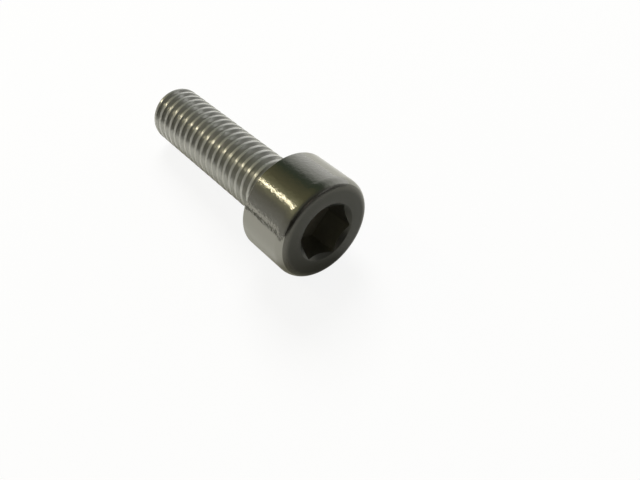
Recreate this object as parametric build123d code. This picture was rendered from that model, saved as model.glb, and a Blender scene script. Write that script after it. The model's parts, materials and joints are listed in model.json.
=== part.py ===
from build123d import *
import os
from math import atan, ceil, cos, radians, sin, tan

# Hexagon socket head cap screw, one piece of stainless steel with a coarse thread, lying at rest.
# Lengths are millimetres and angles are degrees.

# Head
head_diameter = 10.0
head_height = 5.85
rim_radius = 0.5            # rounded edge round the top face
seat_diameter = 9.4         # flat ring under the head that bears on the clamped piece
seat_bevel_height = 0.3     # cone from that ring out to the side of the head

# Hexagon socket
socket_width = 5.0          # across the flats, the size of the key
socket_depth = 3.0
socket_turn = -10.0         # of the corner nearest the top, about the axis of the screw
mouth_diameter = 5.2        # slight round countersink that leads the key in
mouth_angle = 100.0         # between opposite sides of the countersink
drill_point_height = 0.6    # shallow cone at the foot of the socket

# Shank
shank_length = 20.0
neck_length = 1.0           # plain length under the head
neck_step = 0.05            # how far the plain length stands proud of the crests
neck_flare = 0.25           # how far the plain length widens, as a cone, to meet the head
tip_diameter = 4.5
tip_bevel_height = 0.7

# Thread
thread_diameter = 5.9
thread_pitch = 1.0
flank_angle = 60.0          # between the two sides of the groove
run_out_length = 0.6        # where the groove rises to the neck
crest_setback = 1.27        # from the tip to the last crest on the line that rests on the ground
crest_width_share = 1 / 8   # flat crest, of the pitch
groove_depth_share = 0.6134     # of the pitch
ridge_sink_share = 0.08     # how far the wound ridge reaches into the core, of the pitch

# How far cutting and joining shapes pass the faces that they meet
overrun = 0.5

head_radius = head_diameter / 2
seat_radius = seat_diameter / 2
mouth_radius = mouth_diameter / 2
socket_half_width = socket_width / 2
thread_radius = thread_diameter / 2
neck_radius = thread_radius + neck_step
tip_radius = tip_diameter / 2
groove_depth = groove_depth_share * thread_pitch
root_radius = thread_radius - groove_depth
last_crest = shank_length - crest_setback


def turned(*points):
    """Solid turned about the axis of the screw from (radius, height) points, with its seam on the ground."""
    return Rot(0, 0, 180) * revolve(Plane.XZ * make_face(Polyline(*points, close=True)), Axis.Z)


def make_head():
    """Head, neck and the cone that the groove runs out on, with the seat at 0 and the tip towards +Z."""
    run_out_slope = (neck_radius - root_radius) / run_out_length
    cone_end = neck_length + run_out_length + overrun / run_out_slope
    head = turned(
        (0, -head_height),
        (head_radius, -head_height),
        (head_radius, -seat_bevel_height),
        (seat_radius, 0),
        (neck_radius + neck_flare, 0),
        (neck_radius, neck_flare),
        (neck_radius, neck_length),
        (root_radius - overrun, cone_end),
        (0, cone_end),
    )
    rim = head.edges().filter_by(GeomType.CIRCLE).sort_by(Axis.Z)[0]
    return fillet(rim, rim_radius)


def make_socket():
    """Hexagon hole with a shallow drill point at its foot and a round countersink at its mouth."""
    top = -head_height
    foot = top + socket_depth
    above = top - overrun
    mouth_slope = tan(radians(mouth_angle / 2))
    hexagon = RegularPolygon(socket_half_width, 6, major_radius=False, rotation=socket_turn)
    hole = extrude(Pos(0, 0, above) * hexagon, foot - above)
    point = turned((0, foot), (socket_half_width, foot), (0, foot + drill_point_height))
    mouth = turned(
        (0, above),
        (mouth_radius + overrun * mouth_slope, above),
        (0, top + mouth_radius / mouth_slope),
    )
    return hole + point + mouth


def make_thread():
    """Core with a right-handed ridge wound round it, from inside the neck to the bevelled tip."""
    sink = ridge_sink_share * thread_pitch
    crest_half_width = crest_width_share * thread_pitch / 2
    foot_half_width = crest_half_width + (groove_depth + sink) * tan(radians(flank_angle / 2))
    foot_radius = root_radius - sink

    turns_before = ceil((last_crest - neck_length) / thread_pitch) + 1
    turns_after = ceil(crest_setback / thread_pitch) + 1
    start = last_crest - turns_before * thread_pitch
    section = Polyline(
        (foot_radius, start - foot_half_width),
        (thread_radius, start - crest_half_width),
        (thread_radius, start + crest_half_width),
        (foot_radius, start + foot_half_width),
        close=True,
    )
    path = Pos(0, 0, start) * Helix(thread_pitch, thread_pitch, root_radius)
    turn = Rot(0, 0, 180) * sweep(Plane.XZ * make_face(section), path, is_frenet=True)
    turns = turns_before + turns_after
    core_start = start - thread_pitch
    core = extrude(Pos(0, 0, core_start) * Circle(root_radius), (turns + 2) * thread_pitch)
    rod = core + [Pos(0, 0, step * thread_pitch) * turn for step in range(turns)]

    bevel_slope = (thread_radius - tip_radius) / tip_bevel_height
    envelope_radius = thread_radius + overrun
    envelope = turned(
        (0, core_start - overrun),
        (envelope_radius, core_start - overrun),
        (envelope_radius, shank_length - tip_bevel_height - overrun / bevel_slope),
        (tip_radius, shank_length),
        (0, shank_length),
    )
    return rod & envelope


def rest_plane():
    """Plane of the seat when the edge of the head and the last crest lie on the ground, centred over it."""
    crest_reach = last_crest + crest_width_share * thread_pitch / 2
    tilt = atan((head_radius - thread_radius) / (crest_reach + seat_bevel_height))
    height = head_radius * cos(tilt) - seat_bevel_height * sin(tilt)
    head_end = rim_radius + (head_height - rim_radius) * cos(tilt) + (head_radius - rim_radius) * sin(tilt)
    tip_end = shank_length * cos(tilt) + tip_radius * sin(tilt)
    return Plane(
        origin=((tip_end - head_end) / 2, 0, height),
        x_dir=(-sin(tilt), 0, cos(tilt)),
        z_dir=(-cos(tilt), 0, -sin(tilt)),
    )


cap_screw = rest_plane() * (make_head() + make_thread() - make_socket())

os.makedirs("parts", exist_ok=True)
export_step(cap_screw, "parts/cap_screw.step")
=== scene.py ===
import json
from math import atan2, cos, pi, radians, sin, tan

import bpy
from mathutils import Matrix, Vector


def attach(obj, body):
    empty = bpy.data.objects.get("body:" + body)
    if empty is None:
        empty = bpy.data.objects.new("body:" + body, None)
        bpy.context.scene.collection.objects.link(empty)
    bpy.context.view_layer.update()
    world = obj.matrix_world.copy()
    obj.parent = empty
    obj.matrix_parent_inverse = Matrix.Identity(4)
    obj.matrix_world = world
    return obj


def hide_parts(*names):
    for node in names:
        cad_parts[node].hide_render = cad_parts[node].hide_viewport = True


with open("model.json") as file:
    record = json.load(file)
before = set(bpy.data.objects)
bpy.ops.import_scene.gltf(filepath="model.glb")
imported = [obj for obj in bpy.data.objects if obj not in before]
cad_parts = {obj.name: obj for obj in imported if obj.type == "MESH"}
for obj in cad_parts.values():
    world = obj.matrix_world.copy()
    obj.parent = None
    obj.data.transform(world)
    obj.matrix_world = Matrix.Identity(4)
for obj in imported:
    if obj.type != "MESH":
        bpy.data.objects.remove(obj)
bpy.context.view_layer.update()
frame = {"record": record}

# The screw is drawn in millimetres standing on its axis: seat of the head at 0, tip upwards.
# The last step scales it to metres and lays it where the key socket's mount says it is.
mounts = {mount["name"]: mount for mount in frame["record"]["mounts"]}
topCentre = Vector(mounts["key_socket"]["pos_m"])
headAxis = Vector(mounts["key_socket"]["axis"]).normalized()
millimetre = 0.001
fullTurn = 2 * pi


def leaveEditMode():
    if bpy.context.object and bpy.context.object.mode != "OBJECT":
        bpy.ops.object.mode_set(mode="OBJECT")


def deselectAll():
    leaveEditMode()
    bpy.ops.object.select_all(action="DESELECT")


def pick(piece):
    deselectAll()
    piece.select_set(True)
    bpy.context.view_layer.objects.active = piece


def editAll(piece):
    pick(piece)
    bpy.ops.object.mode_set(mode="EDIT")
    bpy.ops.mesh.select_all(action="SELECT")


def drawProfile(name, points):  # a chain of edges in the XZ plane, one extrusion for each (radius, height)
    deselectAll()
    bpy.ops.mesh.primitive_plane_add(size=1, location=(0, 0, 0))
    piece = bpy.context.object
    piece.name = name
    bpy.ops.object.mode_set(mode="EDIT")
    bpy.ops.mesh.select_all(action="SELECT")
    bpy.ops.mesh.merge(type="CENTER")
    bpy.ops.transform.translate(value=(points[0][0], 0, points[0][1]))
    for (r0, z0), (r1, z1) in zip(points, points[1:]):
        bpy.ops.mesh.extrude_region_move(TRANSFORM_OT_translate={"value": (r1 - r0, 0, z1 - z0)})
    bpy.ops.object.mode_set(mode="OBJECT")
    return piece


def closeMesh(piece, reach=0.0005):  # merge the seams and poles, then turn the faces outwards
    editAll(piece)
    bpy.ops.mesh.remove_doubles(threshold=reach)
    bpy.ops.mesh.normals_make_consistent(inside=False)
    bpy.ops.object.mode_set(mode="OBJECT")


def lathe(name, points, steps):
    piece = drawProfile(name, points)
    editAll(piece)
    bpy.ops.mesh.spin(steps=steps, angle=fullTurn, center=(0, 0, 0), axis=(0, 0, 1))
    bpy.ops.object.mode_set(mode="OBJECT")
    closeMesh(piece)
    return piece


def arc(centre, radius, start, end, parts):  # points of a rounded edge, angles in degrees
    angles = [radians(start + (end - start) * i / parts) for i in range(parts + 1)]
    return [(centre[0] + radius * cos(a), centre[1] + radius * sin(a)) for a in angles]


def boolean(piece, other, operation):
    pick(piece)
    cut = piece.modifiers.new("cut", "BOOLEAN")
    cut.operation = operation
    cut.solver = "EXACT"
    cut.object = other
    bpy.ops.object.modifier_apply(modifier=cut.name)
    bpy.data.objects.remove(other, do_unlink=True)


# Head, neck and run-out cone

head = {
    "radius": 5.0,
    "height": 5.85,
    "rim": 1.0,             # soft rounded edge round the top face, down the side
    "rimReach": 0.85,       # and in across the face
    "rimParts": 18,
    "faceRings": (2.0, 3.6),    # edge loops that hold the flat of the face, by radius
    "rimGap": 0.08,         # from the last of them to the rim
    "sideRings": (1.1, 2.6, 3.9),   # and the straight of the side, below the face
    "sideGap": 0.2,         # from the last of them to the bevel
    "seatRadius": 4.7,
    "seatBevel": 0.3,
    "seatEdge": 0.06,       # softened corners of that bevel
    "seatRing": 4.0,
    "neckRadius": 3.0,
    "neckLength": 1.0,
    "neckFlare": 0.25,
    "runOut": 0.6,
    "coneDepth": 0.5,       # how far the run-out cone goes on inside the core
    "steps": 192,
}


def makeHead(h, rootRadius):
    top = -h["height"]
    r = h["radius"]
    edge = h["seatEdge"]
    setBack = edge * tan(radians(22.5))
    slope = (h["neckRadius"] - rootRadius) / h["runOut"]
    points = [(0, top)] + [(ring, top) for ring in h["faceRings"]]
    points += [(r - h["rimReach"] - h["rimGap"], top)]
    for step in range(h["rimParts"] + 1):
        a = radians(90 * step / h["rimParts"])
        points += [(r - h["rimReach"] * (1 - sin(a)), top + h["rim"] * (1 - cos(a)))]
    points += [(r, top + ring) for ring in h["sideRings"]]
    points += [(r, -h["seatBevel"] - h["sideGap"])]
    points += arc((r - edge, -h["seatBevel"] - setBack), edge, 0, 45, 4)
    points += arc((h["seatRadius"] - setBack, -edge), edge, 45, 90, 4)
    points += [(h["seatRing"], 0)]
    points += arc((h["neckRadius"] + h["neckFlare"], h["neckFlare"]), h["neckFlare"], -90, -180, 6)
    points += [(h["neckRadius"], h["neckLength"])]
    coneEnd = h["neckLength"] + h["runOut"] + h["coneDepth"] / slope
    points += [(rootRadius - h["coneDepth"], coneEnd), (0, coneEnd)]
    return lathe("capScrew", points, h["steps"])


# Hexagon socket

socket = {
    "width": 5.0,
    "depth": 3.0,
    "turn": 20.0,           # puts a corner 10 degrees clockwise of the top line
    "mouthRadius": 2.95,
    "mouthAngle": 105.0,    # leaves a thin crescent over each flat
    "mouthSteps": 192,
    "drillPoint": 0.6,
    "pointInset": 0.12,     # of the drill point from the flats
    "pointOverlap": 0.2,    # of its stub with the hexagon
    "pointSteps": 96,
    "above": 0.5,           # how far the cutter stands out of the face
    "cornerRound": 0.1,     # left by the broach in the six corners
    "mouthRound": 0.06,     # rolled edge where the countersink meets the face
    "mouthParts": 5,
    "mouthLift": 0.001,     # keeps that edge clear of the plane of the face
}


def makeSocket(s, headHeight):
    top = -headHeight
    foot = top + s["depth"]
    deselectAll()
    bpy.ops.mesh.primitive_cylinder_add(
        vertices=6,
        radius=s["width"] / 2 / cos(pi / 6),
        depth=s["depth"] + s["above"],
        location=(0, 0, (foot + top - s["above"]) / 2),
        rotation=(0, 0, radians(s["turn"])),
    )
    hexagon = bpy.context.object
    bpy.ops.object.transform_apply(location=True, rotation=True, scale=True)
    editAll(hexagon)
    bpy.ops.mesh.select_mode(type="EDGE")
    bpy.ops.mesh.select_all(action="DESELECT")
    bpy.ops.object.mode_set(mode="OBJECT")
    corners = hexagon.data.vertices
    for edge in hexagon.data.edges:  # the six upright ones
        low, high = sorted(corners[i].co.z for i in edge.vertices)
        edge.select = high - low > s["depth"] / 2
    bpy.ops.object.mode_set(mode="EDIT")
    bpy.ops.mesh.bevel(offset=s["cornerRound"], segments=4, affect="EDGES")
    bpy.ops.mesh.select_mode(type="VERT")
    bpy.ops.object.mode_set(mode="OBJECT")
    half = radians(s["mouthAngle"] / 2)
    roll = s["mouthRound"]
    bend = pi / 2 - half
    outer = s["mouthRadius"] + roll * tan(bend / 2)
    angles = [bend * i / s["mouthParts"] for i in range(1, s["mouthParts"] + 1)]
    mouth = lathe("mouth", [
        (0, top - s["above"]),
        (outer, top - s["above"]),
        (outer, top - s["mouthLift"]),
        *[(outer - roll * sin(a), top + roll * (1 - cos(a))) for a in angles],
        (0, top + s["mouthRadius"] / tan(half)),
    ], s["mouthSteps"])
    pointRadius = s["width"] / 2 - s["pointInset"]
    point = lathe("drillPoint", [
        (0, foot - s["pointOverlap"]),
        (pointRadius, foot - s["pointOverlap"]),
        (pointRadius, foot),
        (0, foot + s["drillPoint"]),
    ], s["pointSteps"])
    boolean(hexagon, point, "UNION")
    boolean(hexagon, mouth, "UNION")
    return hexagon


# Thread

thread = {
    "radius": 2.95,
    "pitch": 1.0,
    "depth": 0.6134,
    "crestWidth": 0.34,
    "crestRound": 0.05,
    "rootRound": 0.14,
    "crestAt": 18.73,       # from the seat to the crest on the line that rests on the ground
    "tip": 20.0,
    "tipRadius": 2.25,
    "tipBevel": 0.7,
    "tipEdge": 0.08,
    "steps": 96,            # for each turn
    "turns": 23,
    "turnsBelow": 20,       # of them, from the start of the winding to that crest
    "rodStart": 0.3,        # the wound rod is cut square here, inside the neck
    "rodEnd": 20.4,
    "envelopeStart": 0.1,
    "envelopeOver": 0.6,    # how far the shape of the tip stands out round the crests
    "envelopeSteps": 192,
}


def halfPitch(t):  # (distance along the axis from the crest, depth) down one flank
    crest = t["crestRound"]
    root = t["rootRound"]
    flank = radians(30)
    bends = [radians(a) for a in (0, 20, 40, 60)]
    crestCentre = t["crestWidth"] / 2 + crest / 2 * tan(flank) - crest * cos(flank)
    points = [(crestCentre + crest * sin(a), crest - crest * cos(a)) for a in bends]
    rootDepth = t["depth"] - root
    points += [(t["pitch"] / 2 - root * sin(a), rootDepth + root * cos(a)) for a in reversed(bends)]
    return points


def makeThread(t):
    down = halfPitch(t)
    up = [(t["pitch"] - along, depth) for along, depth in reversed(down[:-1])]
    first = t["crestAt"] - t["turnsBelow"] * t["pitch"]
    onePitch = [(0, 0)] + down + up + [(t["pitch"], 0)]
    chain = [(t["radius"] - depth, first + along) for along, depth in onePitch]
    rod = drawProfile("threadRod", chain)
    rod.rotation_euler = (0, 0, pi)  # the profile starts on the line that rests on the ground
    pick(rod)
    bpy.ops.object.transform_apply(location=True, rotation=True, scale=True)
    winding = rod.modifiers.new("winding", "SCREW")
    winding.axis = "Z"
    winding.angle = fullTurn
    winding.screw_offset = t["pitch"]
    winding.iterations = t["turns"]
    winding.steps = t["steps"]
    winding.render_steps = t["steps"]
    bpy.ops.object.modifier_apply(modifier=winding.name)
    closeMesh(rod)
    for height, side in ((t["rodStart"], -1), (t["rodEnd"], 1)):
        editAll(rod)
        bpy.ops.mesh.bisect(
            plane_co=(0, 0, height), plane_no=(0, 0, side), use_fill=True, clear_outer=True)
        bpy.ops.object.mode_set(mode="OBJECT")
    closeMesh(rod)
    slope = (t["radius"] - t["tipRadius"]) / t["tipBevel"]
    over = t["envelopeOver"]
    envelope = lathe("tipEnvelope", [
        (0, t["envelopeStart"]),
        (t["radius"] + over, t["envelopeStart"]),
        (t["radius"] + over, t["tip"] - t["tipBevel"] - over / slope),
        (t["tipRadius"] + t["tipEdge"] * slope, t["tip"] - t["tipEdge"]),
        (t["tipRadius"] - t["tipEdge"], t["tip"]),
        (0, t["tip"]),
    ], t["envelopeSteps"])
    boolean(rod, envelope, "INTERSECT")
    return rod


rootRadius = thread["radius"] - thread["depth"]
capScrew = makeHead(head, rootRadius)
boolean(capScrew, makeSocket(socket, head["height"]), "DIFFERENCE")
print("head and socket:", len(capScrew.data.polygons), "faces")
threadRod = makeThread(thread)
print("thread:", len(threadRod.data.polygons), "faces")
boolean(capScrew, threadRod, "UNION")
print("screw:", len(capScrew.data.polygons), "faces")


# Finishes

def hexColour(code):  # sRGB hex to linear
    parts = [int(code[i:i + 2], 16) / 255 for i in (1, 3, 5)]
    return [p / 12.92 if p <= 0.04045 else ((p + 0.055) / 1.055) ** 2.4 for p in parts] + [1.0]


def addNode(tree, kind, settings=None, links=None):  # settings and links go by the name or number of the socket
    node = tree.nodes.new(kind)
    for name, value in (settings or {}).items():
        if name in node.bl_rna.properties.keys():
            setattr(node, name, value)
        else:
            node.inputs[name].default_value = value
    for name, source in (links or {}).items():
        tree.links.new(source, node.inputs[name])
    return node


def newMaterial(name):
    made = bpy.data.materials.new(name)
    made.use_nodes = True
    made.node_tree.nodes.clear()
    return made, made.node_tree


seatCentre = topCentre - headAxis * head["height"] * millimetre
layDown = (0, atan2(-headAxis.x, -headAxis.z), 0)


def steel(name, look):  # bare steel whose fine marks are laid out in millimetres along and round the screw
    made, tree = newMaterial(name)
    place = addNode(tree, "ShaderNodeTexCoord")
    local = addNode(tree, "ShaderNodeMapping", {
        "vector_type": "TEXTURE",
        "Location": seatCentre,
        "Rotation": layDown,
        "Scale": (millimetre, millimetre, millimetre),
    }, {"Vector": place.outputs["Object"]})
    pattern = local.outputs[0]
    if look["rings"]:
        flat = addNode(tree, "ShaderNodeVectorMath", {"operation": "MULTIPLY", 1: (1, 1, 0)}, {0: pattern})
        radius = addNode(tree, "ShaderNodeVectorMath", {"operation": "LENGTH"}, {0: flat.outputs[0]})
        parts = addNode(tree, "ShaderNodeSeparateXYZ", None, {0: pattern})
        ringed = addNode(tree, "ShaderNodeCombineXYZ", None, {
            "X": parts.outputs["X"], "Y": parts.outputs["Y"], "Z": radius.outputs["Value"]})
        pattern = ringed.outputs[0]
    stretched = addNode(tree, "ShaderNodeVectorMath", {
        "operation": "MULTIPLY", 1: look["marks"]}, {0: pattern})
    marks = addNode(tree, "ShaderNodeTexNoise", {
        "Scale": 1.0, "Detail": 3.0}, {"Vector": stretched.outputs[0]})
    smudges = addNode(tree, "ShaderNodeTexNoise", {
        "Scale": 0.35, "Detail": 2.0}, {"Vector": local.outputs[0]})
    mixed = addNode(tree, "ShaderNodeMath", {
        "operation": "ADD"}, {0: marks.outputs[0], 1: smudges.outputs[0]})
    gloss = addNode(tree, "ShaderNodeMapRange", {   # the two noises together lie about 1
        "From Min": 0.7,
        "From Max": 1.3,
        "To Min": look["roughness"][0],
        "To Max": look["roughness"][1],
    }, {"Value": mixed.outputs[0]})
    relief = addNode(tree, "ShaderNodeBump", {
        "Distance": look["depth"] * millimetre}, {"Height": marks.outputs[0]})
    settings = {"Base Color": hexColour(look["colour"]), "Metallic": look["metallic"]}
    links = {"Roughness": gloss.outputs[0], "Normal": relief.outputs[0]}
    # Towards the rim the faced steel turns smoother and lighter; the lighter colour there is a painted sheen
    if look["rings"]:
        edge = look["bright"]
        share = addNode(tree, "ShaderNodeMapRange", {
            "interpolation_type": "SMOOTHSTEP",
            "From Min": edge["from"],
            "From Max": edge["to"],
        }, {"Value": radius.outputs["Value"]})
        shadeToSheen = addNode(tree, "ShaderNodeMixRGB", {
            "Color1": hexColour(look["colour"]),
            "Color2": hexColour(edge["colour"]),
        }, {"Fac": share.outputs[0]})
        smooth = addNode(tree, "ShaderNodeMapRange", {"To Max": edge["roughness"]}, {
            "Value": share.outputs[0], "To Min": gloss.outputs[0]})
        links["Base Color"] = shadeToSheen.outputs[0]
        links["Roughness"] = smooth.outputs[0]
    shader = addNode(tree, "ShaderNodeBsdfPrincipled", settings, links)
    addNode(tree, "ShaderNodeOutputMaterial", None, {"Surface": shader.outputs[0]})
    return made


# Stainless steel, tumbled bright: the side of the head mirrors the room in long bands, a little uneven.
# The dimples of the tumbling are drawn coarser and deeper than the real ones.
polishedSteel = steel("polishedSteel", {
    "colour": "#94938d",
    "metallic": 1.0,
    "roughness": (0.1, 0.17),
    "rings": False,
    "marks": (3.0, 3.0, 4.0),
    "depth": 0.016,
})
# Stainless steel faced in the lathe: a dull grey ring with fine marks round it, drawn coarser than the real ones.
# Its dark grey is partly painted shade, standing for the shadowed paper that the face mirrors.
# Towards the rim it turns smoother, as tumbling left it, and lighter, which is a painted sheen.
facedSteel = steel("facedSteel", {
    "colour": "#464642",
    "metallic": 1.0,
    "roughness": (0.3, 0.38),
    "rings": True,
    "marks": (0.3, 0.3, 6.0),
    "depth": 0.0015,
    "bright": {"from": 4.0, "to": 4.8, "colour": "#6c6b66", "roughness": 0.24},
})
# Stainless steel scraped by the broach: matt and dark, with streaks down the walls of the socket,
# drawn coarser than the real ones
broachedSteel = steel("broachedSteel", {
    "colour": "#8a887f",
    "metallic": 1.0,
    "roughness": (0.36, 0.48),
    "rings": False,
    "marks": (5.0, 5.0, 0.4),
    "depth": 0.003,
})
# Stainless steel pressed by thread rolls: a greyish bloom, with glints on the burnished crests.
# The lines that the rolls leave round it are drawn coarser than the real ones.
rolledSteel = steel("rolledSteel", {
    "colour": "#b2b2ae",
    "metallic": 0.7,
    "roughness": (0.18, 0.26),
    "rings": False,
    "marks": (0.3, 0.3, 10.0),
    "depth": 0.005,
})

for finish in (polishedSteel, facedSteel, broachedSteel, rolledSteel):
    capScrew.data.materials.append(finish)
where = {
    "top": -head["height"],
    "topDepth": 0.5,        # the faced steel goes this far down the rim and the countersink
    "mouthSlant": 0.7,      # and is on faces that look along the axis at least this much
    "rimSlant": 0.72,
    "socketReach": socket["mouthRadius"] + 0.05,
    "socketEnd": -1.0,
    "shankStart": 0.3,
    "shankReach": head["neckRadius"] + 0.1,
}
for face in capScrew.data.polygons:
    spot = face.center
    across = (spot.x ** 2 + spot.y ** 2) ** 0.5
    inSocket = across < where["socketReach"]
    leastSlant = where["mouthSlant"] if inSocket else where["rimSlant"]
    if spot.z < where["top"] + where["topDepth"] and abs(face.normal.z) > leastSlant:
        face.material_index = 1
    elif inSocket and spot.z < where["socketEnd"]:
        face.material_index = 2
    elif spot.z > where["shankStart"] and across < where["shankReach"]:
        face.material_index = 3
    else:
        face.material_index = 0

# Lay the screw down
pick(capScrew)
capScrew.scale = (millimetre, millimetre, millimetre)
capScrew.rotation_euler = layDown
capScrew.location = seatCentre
bpy.ops.object.transform_apply(location=True, rotation=True, scale=True)
bpy.ops.object.shade_smooth_by_angle(angle=radians(32))
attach(capScrew, "root")
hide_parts("cap_screw")
print("screw laid down")


# Floor

deselectAll()
bpy.ops.mesh.primitive_plane_add(size=1.2, location=(0, 0, 0))
floor = bpy.context.object
floor.name = "floor"
paper, paperTree = newMaterial("whitePaper")
# How much of the paper is plain white, in the picture and in the steel; the rest keeps the shadow
whiteShare = {"seen": 0.88, "mirrored": 0.05}
path = addNode(paperTree, "ShaderNodeLightPath")
mirrored = addNode(paperTree, "ShaderNodeMath", {"operation": "MAXIMUM"}, {
    0: path.outputs["Is Glossy Ray"], 1: path.outputs["Is Transmission Ray"]})
mirroredShare = addNode(paperTree, "ShaderNodeMath", {
    "operation": "MULTIPLY", 1: whiteShare["mirrored"]}, {0: mirrored.outputs[0]})
seenShare = addNode(paperTree, "ShaderNodeMath", {
    "operation": "MULTIPLY", 1: whiteShare["seen"]}, {0: path.outputs["Is Camera Ray"]})
share = addNode(paperTree, "ShaderNodeMath", {"operation": "MAXIMUM"}, {
    0: mirroredShare.outputs[0], 1: seenShare.outputs[0]})
matt = addNode(paperTree, "ShaderNodeBsdfDiffuse", {"Color": hexColour("#f4f4f4")})
glow = addNode(paperTree, "ShaderNodeEmission", {"Strength": 1.0})
mixed = addNode(paperTree, "ShaderNodeMixShader", None, {
    0: share.outputs[0], 1: matt.outputs[0], 2: glow.outputs[0]})
addNode(paperTree, "ShaderNodeOutputMaterial", None, {"Surface": mixed.outputs[0]})
floor.data.materials.append(paper)


# Light

middle = Vector((0, 0, 0.005))


def addLamp(name, place, size, brightness, colour="#ffffff", target=middle, along=(0, 0, 1)):
    deselectAll()
    bpy.ops.object.light_add(type="AREA", location=place)
    lamp = bpy.context.object
    lamp.name = name
    away = (Vector(place) - Vector(target)).normalized()
    long = (Vector(along) - away * away.dot(Vector(along))).normalized()
    lamp.rotation_euler = Matrix((long.cross(away), long, away)).transposed().to_euler()
    lamp.data.shape = "RECTANGLE"
    lamp.data.size, lamp.data.size_y = size
    lamp.data.energy = brightness * pi * size[0] * size[1]
    lamp.data.color = hexColour(colour)[:3]
    lamp.visible_camera = False
    return lamp


# A long tube parallel to the screw draws the line on the head and the row of dots on the thread
addLamp(
    "tubeLamp",
    place=(-0.27, -0.137, 0.21),
    size=(0.009, 0.5),
    brightness=14.0,
    colour="#fff4d8",
    target=(-0.27, 0, 0),
    along=(1, 0, 0),
)
# Two weak lights in front of the head brighten its rim
addLamp("roomLamp", place=(0.42, 0.037, 0.185), size=(0.06, 0.02), brightness=3.0, colour="#ffe6dc")
addLamp("window", place=(0.31, 0.26, 0.21), size=(0.2, 0.03), brightness=1.5)
# Soft box behind the screw that lights the paper, so the shadow falls in front; the steel does not mirror it
softBox = addLamp("softBox", place=(-0.45, 0.3, 0.6), size=(0.4, 0.4), brightness=11.5, along=(1, 0, 0))
softBox.visible_glossy = False


def addCard(name, place, rotation, size):  # dark and out of the picture, seen only in the steel
    deselectAll()
    bpy.ops.mesh.primitive_plane_add(size=1, location=place, rotation=rotation)
    card = bpy.context.object
    card.name = name
    card.scale = (*size, 1)
    card.visible_camera = False
    card.visible_shadow = False
    card.visible_diffuse = False
    paint, tree = newMaterial(name + "Paint")
    dark = addNode(tree, "ShaderNodeBsdfDiffuse", {"Color": hexColour("#2c2a26")})
    addNode(tree, "ShaderNodeOutputMaterial", None, {"Surface": dark.outputs[0]})
    card.data.materials.append(paint)


# Painted shadow at the edge of the paper: a dark strip on the floor, seen only in the steel, draws a thin dark
# line along the side of the head
addCard("paperEdgeShadow", place=(-0.0205, -0.041, 0.0002), rotation=(0, 0, atan2(4.2, -4.8)), size=(0.3, 0.022))
# The photographer: the dark line round the left of the top face
addCard(
    "figure",
    place=(0.16, -0.09, 0.045),
    rotation=(0, radians(75), atan2(-0.09, 0.16)),
    size=(0.11, 0.13),
)

# Room round the screw. Angles go round its length from straight up towards the far side.
room = {
    "around": [(-90, "#b4b3ae"), (-56, "#8a887c"), (-31, "#b8b690"), (-10, "#827f62"), (12, "#6a6b54"),
               (24, "#505a4a"), (34, "#565e52"), (50, "#b6b8b4"), (80, "#ffffff")],
    "beyondHead": [(0.0, "#7c7c78"), (0.36, "#767672"), (0.5, "#62625a"), (1.0, "#50504a")],   # by height
    "beyondHeadFrom": 0.2,      # how far a direction leans to the head's end where that begins
    "beyondHeadTo": 0.7,        # and where there is nothing else
}
world = bpy.data.worlds.new("studio")
bpy.context.scene.world = world
world.use_nodes = True
sky = world.node_tree
sky.nodes.clear()
way = addNode(sky, "ShaderNodeTexCoord")
parts = addNode(sky, "ShaderNodeSeparateXYZ", None, {0: way.outputs["Generated"]})
turn = addNode(sky, "ShaderNodeMath", {"operation": "ARCTAN2"}, {0: parts.outputs["Y"], 1: parts.outputs["Z"]})
turnShare = addNode(sky, "ShaderNodeMapRange", {"From Min": -pi, "From Max": pi}, {"Value": turn.outputs[0]})
shades = []
for stops, place in (
    ([(angle / 360 + 0.5, colour) for angle, colour in room["around"]], turnShare.outputs[0]),
    (room["beyondHead"], parts.outputs["Z"]),
):
    shade = addNode(sky, "ShaderNodeValToRGB", None, {"Fac": place})
    while len(shade.color_ramp.elements) < len(stops):
        shade.color_ramp.elements.new(0.5)
    for stop, (position, colour) in zip(shade.color_ramp.elements, stops):
        stop.position = position
        stop.color = hexColour(colour)
    shades.append(shade.outputs[0])
headShare = addNode(sky, "ShaderNodeMapRange", {
    "interpolation_type": "SMOOTHSTEP",
    "From Min": room["beyondHeadFrom"],
    "From Max": room["beyondHeadTo"],
}, {"Value": parts.outputs["X"]})
blend = addNode(sky, "ShaderNodeMixRGB", None, {
    "Fac": headShare.outputs[0], "Color1": shades[0], "Color2": shades[1]})
roomLight = addNode(sky, "ShaderNodeBackground", {"Strength": 1.0}, {"Color": blend.outputs[0]})
whiteWall = addNode(sky, "ShaderNodeBackground", {"Color": hexColour("#ffffff"), "Strength": 1.0})
skyPath = addNode(sky, "ShaderNodeLightPath")
seenSky = addNode(sky, "ShaderNodeMixShader", None, {
    0: skyPath.outputs["Is Camera Ray"], 1: roomLight.outputs[0], 2: whiteWall.outputs[0]})
addNode(sky, "ShaderNodeOutputWorld", None, {"Surface": seenSky.outputs[0]})


# Camera, fitted to the photograph's view

view = {
    "azimuth": 50.0,
    "elevation": 50.6,
    "lens": 36.0,
    "sensor": 36.0,
    "nearest": 0.001,
    "right": 0.599,         # of the middle of the top face from the middle of the picture, in millimetres
    "above": 0.642,
    "ahead": 55.72,
}
az, el = radians(view["azimuth"]), radians(view["elevation"])
right = Vector((cos(az), sin(az), 0))
ahead = Vector((-sin(az) * cos(el), cos(az) * cos(el), -sin(el)))
above = right.cross(ahead)
offset = right * view["right"] + above * view["above"] + ahead * view["ahead"]
deselectAll()
bpy.ops.object.camera_add(location=topCentre - offset * millimetre)
camera = bpy.context.object
camera.rotation_euler = (-ahead).to_track_quat("Z", "Y").to_euler()
camera.data.sensor_width = view["sensor"]
camera.data.lens = view["lens"]
camera.data.clip_start = view["nearest"]
bpy.context.scene.camera = camera
bpy.context.scene.view_settings.view_transform = "Standard"
print("floor, light and camera set")
